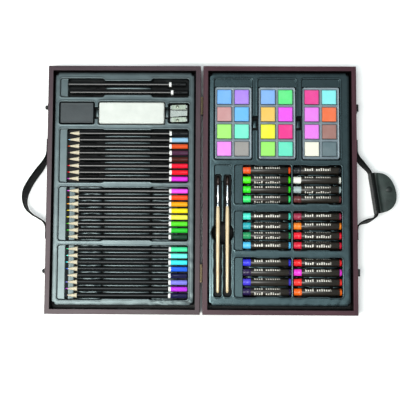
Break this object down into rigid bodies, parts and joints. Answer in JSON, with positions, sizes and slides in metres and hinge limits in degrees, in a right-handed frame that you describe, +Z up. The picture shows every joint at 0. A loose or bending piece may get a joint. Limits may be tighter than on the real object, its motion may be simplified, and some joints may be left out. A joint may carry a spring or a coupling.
{
  "type": "art supply box",
  "caption": "Folding wooden art case lying open on its hinges, with latches, strap handles and moulded trays of pencils, erasers, paints, brushes and oil pastels.",
  "frame": {"origin": "middle of the left half's underside, which is the middle of the closed case's underside", "axes": "+X from the left half to the right half, +Y to the back edge, +Z up; the case lies open flat"},
  "size_m": [0.5519, 0.3624, 0.0256],
  "materials": {
    "stained_wood": "dark mahogany stain under satin lacquer",
    "panel_wood": "thin stained plywood",
    "tray_plastic": "black thermoformed sheet",
    "brass": "plain brass",
    "dark_metal": "blackened steel",
    "webbing": "black woven webbing",
    "leatherette": "black grained leatherette",
    "snap_metal": "black snap fastener",
    "graphite_lacquer": "black lacquered pencil",
    "pencil_lacquer": "black lacquered pencil with a dipped coloured end",
    "dark_rubber": "dark grey eraser",
    "white_rubber": "white eraser",
    "sharpener_metal": "cast light metal",
    "blade_steel": "ground blade steel",
    "palette_plastic": "pale moulded palette",
    "paint": "pressed paint cakes in many colours",
    "brush_wood": "clear varnished pale wood",
    "ferrule_metal": "polished ferrule",
    "brush_hair": "dark brown hair",
    "pastel": "oil pastel in a black paper sleeve"
  },
  "bodies": {
    "left_half": {"left_base_panel": "panel_wood", "left_outer_stile": "stained_wood", "left_hinge_stile": "stained_wood", "left_back_rail": "stained_wood", "left_front_rail": "stained_wood", "left_tray": "tray_plastic", "left_hinge_leaves": "brass", "hinge_pins": "brass", "left_hinge_screws": "brass", "strike_plates": "dark_metal", "latch_studs": "dark_metal", "strike_screws": "dark_metal", "left_strap_ends": "webbing", "left_strap_screws": "dark_metal"},
    "right_half": {"right_base_panel": "panel_wood", "right_outer_stile": "stained_wood", "right_hinge_stile": "stained_wood", "right_back_rail": "stained_wood", "right_front_rail": "stained_wood", "right_tray": "tray_plastic", "right_hinge_leaves": "brass", "right_hinge_screws": "brass", "hasp_plates": "dark_metal", "hasp_pins": "dark_metal", "hasp_screws": "dark_metal", "right_strap_ends": "webbing", "right_strap_screws": "dark_metal"},
    "back_hasp": {"back_hasp": "dark_metal"},
    "front_hasp": {"front_hasp": "dark_metal"},
    "left_handle": {"left_strap_loop": "webbing"},
    "right_handle": {"right_strap_loop": "webbing", "wrap_sleeve": "leatherette", "snap_stud": "snap_metal"},
    "wrap_flap": {"wrap_flap": "leatherette", "snap_cap": "snap_metal"},
    "graphite_pencils": {"graphite_pencils": "graphite_lacquer"},
    "dark_eraser": {"dark_eraser": "dark_rubber"},
    "white_eraser": {"white_eraser": "white_rubber"},
    "sharpener": {"sharpener_body": "sharpener_metal", "sharpener_blades": "blade_steel", "sharpener_screws": "blade_steel"},
    "brushes": {"brush_handles": "brush_wood", "brush_ferrules": "ferrule_metal", "brush_hairs": "brush_hair"},
    "pencil_row_1": {"pencil_row_1": "pencil_lacquer"},
    "pencil_row_2": {"pencil_row_2": "pencil_lacquer"},
    "pencil_row_3": {"pencil_row_3": "pencil_lacquer"},
    "palette_1": {"palette_1": "palette_plastic", "paint_cakes_1": "paint"},
    "palette_2": {"palette_2": "palette_plastic", "paint_cakes_2": "paint"},
    "palette_3": {"palette_3": "palette_plastic", "paint_cakes_3": "paint"},
    "pastels_left_1": {"pastels_left_1": "pastel"},
    "pastels_left_2": {"pastels_left_2": "pastel"},
    "pastels_left_3": {"pastels_left_3": "pastel"},
    "pastels_right_1": {"pastels_right_1": "pastel"},
    "pastels_right_2": {"pastels_right_2": "pastel"},
    "pastels_right_3": {"pastels_right_3": "pastel"}
  },
  "joints": [
    {"name": "case_fold", "type": "hinge", "parent": "left_half", "child": "right_half", "pos_m": [0.11375, 0, 0.0241], "axis": [0, 1, 0], "range_deg": [-180, 0]},
    {"name": "back_hasp_swing", "type": "hinge", "parent": "right_half", "child": "back_hasp", "pos_m": [0.34145, 0.12, 0.0204], "axis": [0, 1, 0], "range_deg": [-170, 0]},
    {"name": "front_hasp_swing", "type": "hinge", "parent": "right_half", "child": "front_hasp", "pos_m": [0.34145, -0.12, 0.0204], "axis": [0, 1, 0], "range_deg": [-170, 0]},
    {"name": "left_handle_swing", "type": "hinge", "parent": "left_half", "child": "left_handle", "pos_m": [-0.11195, 0, 0.01195], "axis": [0, 1, 0], "range_deg": [0, 35]},
    {"name": "right_handle_swing", "type": "hinge", "parent": "right_half", "child": "right_handle", "pos_m": [0.33945, 0, 0.01195], "axis": [0, -1, 0], "range_deg": [0, 35]},
    {"name": "wrap_flap_open", "type": "hinge", "parent": "right_handle", "child": "wrap_flap", "pos_m": [0.36452, -0.0048, 0.02135], "axis": [0.1438, -0.9896, 0], "range_deg": [0, 110]},
    {"name": "graphite_pencils_lift", "type": "slide", "parent": "left_half", "child": "graphite_pencils", "axis": [0, 0, 1], "range_m": [0, 0.04]},
    {"name": "dark_eraser_lift", "type": "slide", "parent": "left_half", "child": "dark_eraser", "axis": [0, 0, 1], "range_m": [0, 0.04]},
    {"name": "white_eraser_lift", "type": "slide", "parent": "left_half", "child": "white_eraser", "axis": [0, 0, 1], "range_m": [0, 0.04]},
    {"name": "sharpener_lift", "type": "slide", "parent": "left_half", "child": "sharpener", "axis": [0, 0, 1], "range_m": [0, 0.04]},
    {"name": "pencil_row_1_lift", "type": "slide", "parent": "left_half", "child": "pencil_row_1", "axis": [0, 0, 1], "range_m": [0, 0.04]},
    {"name": "pencil_row_2_lift", "type": "slide", "parent": "left_half", "child": "pencil_row_2", "axis": [0, 0, 1], "range_m": [0, 0.04]},
    {"name": "pencil_row_3_lift", "type": "slide", "parent": "left_half", "child": "pencil_row_3", "axis": [0, 0, 1], "range_m": [0, 0.04]},
    {"name": "palette_1_lift", "type": "slide", "parent": "right_half", "child": "palette_1", "axis": [0, 0, 1], "range_m": [0, 0.04]},
    {"name": "palette_2_lift", "type": "slide", "parent": "right_half", "child": "palette_2", "axis": [0, 0, 1], "range_m": [0, 0.04]},
    {"name": "palette_3_lift", "type": "slide", "parent": "right_half", "child": "palette_3", "axis": [0, 0, 1], "range_m": [0, 0.04]},
    {"name": "brushes_lift", "type": "slide", "parent": "right_half", "child": "brushes", "axis": [0, 0, 1], "range_m": [0, 0.04]},
    {"name": "pastels_left_1_lift", "type": "slide", "parent": "right_half", "child": "pastels_left_1", "axis": [0, 0, 1], "range_m": [0, 0.04]},
    {"name": "pastels_left_2_lift", "type": "slide", "parent": "right_half", "child": "pastels_left_2", "axis": [0, 0, 1], "range_m": [0, 0.04]},
    {"name": "pastels_left_3_lift", "type": "slide", "parent": "right_half", "child": "pastels_left_3", "axis": [0, 0, 1], "range_m": [0, 0.04]},
    {"name": "pastels_right_1_lift", "type": "slide", "parent": "right_half", "child": "pastels_right_1", "axis": [0, 0, 1], "range_m": [0, 0.04]},
    {"name": "pastels_right_2_lift", "type": "slide", "parent": "right_half", "child": "pastels_right_2", "axis": [0, 0, 1], "range_m": [0, 0.04]},
    {"name": "pastels_right_3_lift", "type": "slide", "parent": "right_half", "child": "pastels_right_3", "axis": [0, 0, 1], "range_m": [0, 0.04]}
  ]
}
